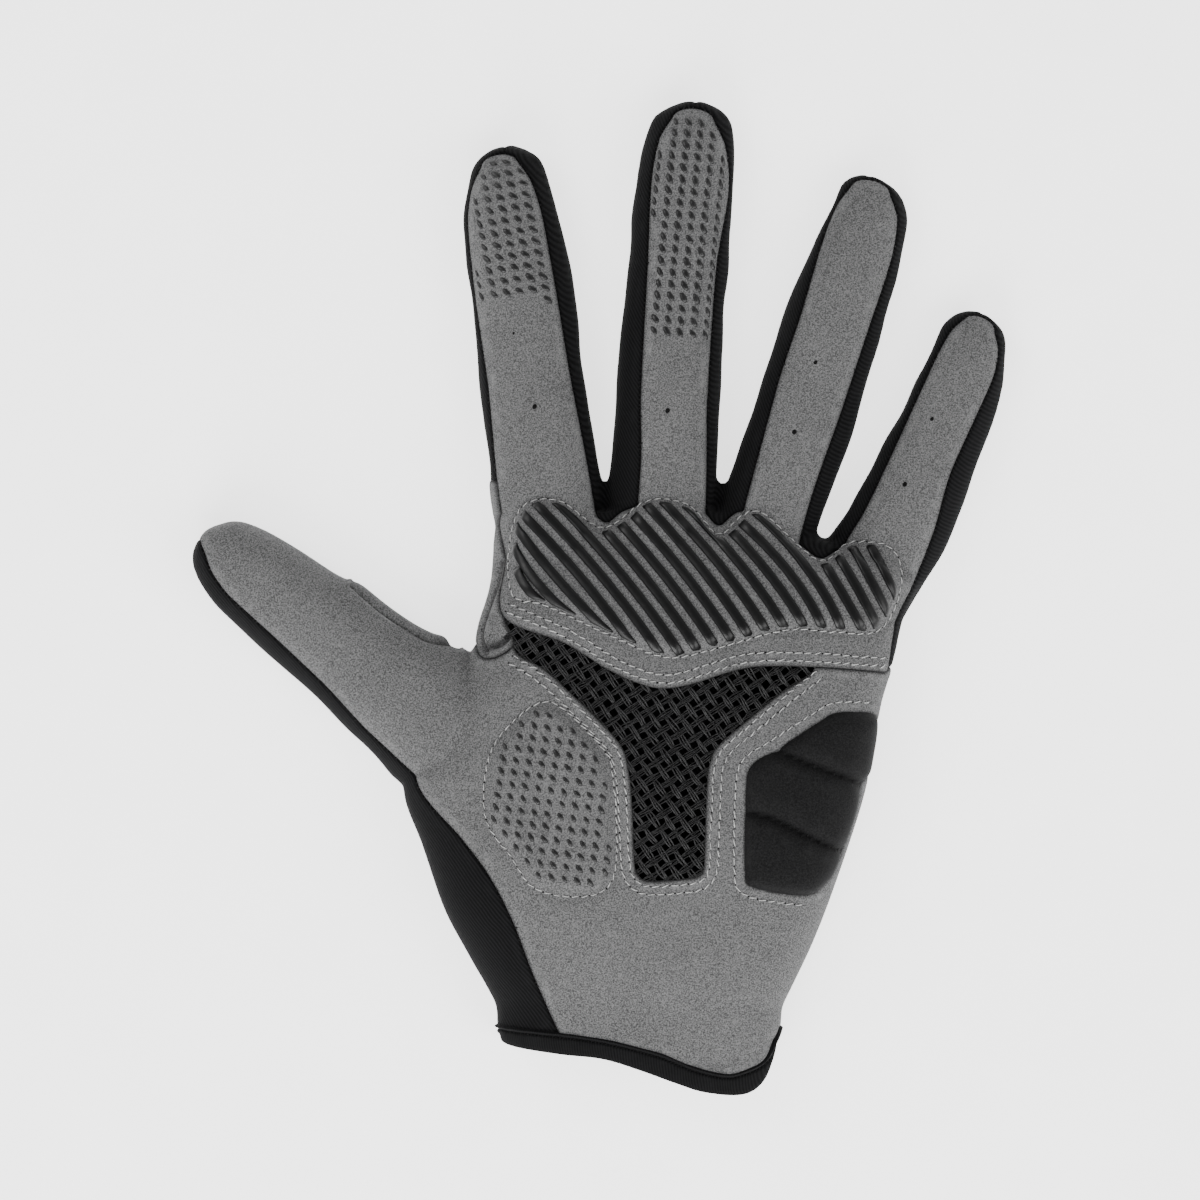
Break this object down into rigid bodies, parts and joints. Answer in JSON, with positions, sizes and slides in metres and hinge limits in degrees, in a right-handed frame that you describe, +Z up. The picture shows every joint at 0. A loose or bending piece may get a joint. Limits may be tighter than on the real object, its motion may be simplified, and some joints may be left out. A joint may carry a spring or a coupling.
{
  "type": "cycling glove",
  "caption": "Full-finger cycling glove for the left hand, grey suede palm with padded heel, silicone grip bars, net insert and black knit sides, lying palm up.",
  "frame": {"origin": "on the flat underside of the glove, below the middle of the palm", "axes": "+Z up out of the palm, +Y towards the fingertips, -X towards the thumb"},
  "size_m": [0.1829, 0.2232, 0.0236],
  "materials": {
    "suede": "matt synthetic suede with a fine speckle",
    "knit": "matt stretch knit with a fine diagonal rib",
    "net": "open polyester net with thick diagonal threads",
    "pad_leather": "satin synthetic leather over foam",
    "silicone": "glossy printed silicone",
    "elastic": "matt folded elastic binding with a stitch line"
  },
  "bodies": {
    "root": {"back_hand": "knit", "back_index": "knit", "back_middle": "knit", "back_ring": "knit", "back_little": "knit", "back_thumb": "knit", "palm_upper": "suede", "face_index": "suede", "face_middle": "suede", "face_ring": "suede", "face_little": "suede", "palm_lower": "suede", "face_thumb": "suede", "thumb_gusset": "suede", "mesh_insert": "net", "fourchette_index_middle": "knit", "fourchette_middle_ring": "knit", "fourchette_ring_little": "knit", "cuff_binding": "elastic", "knuckle_pad": "suede", "thenar_pad": "suede", "heel_pad": "pad_leather", "grip_stripe_01": "silicone", "grip_stripe_02": "silicone", "grip_stripe_03": "silicone", "grip_stripe_04": "silicone", "grip_stripe_05": "silicone", "grip_stripe_06": "silicone", "grip_stripe_07": "silicone", "grip_stripe_08": "silicone", "grip_stripe_09": "silicone", "grip_stripe_10": "silicone", "grip_stripe_11": "silicone", "grip_stripe_12": "silicone", "grip_stripe_13": "silicone", "grip_stripe_14": "silicone", "grip_stripe_15": "silicone", "grip_stripe_16": "silicone", "grip_stripe_17": "silicone"}
  },
  "joints": []
}
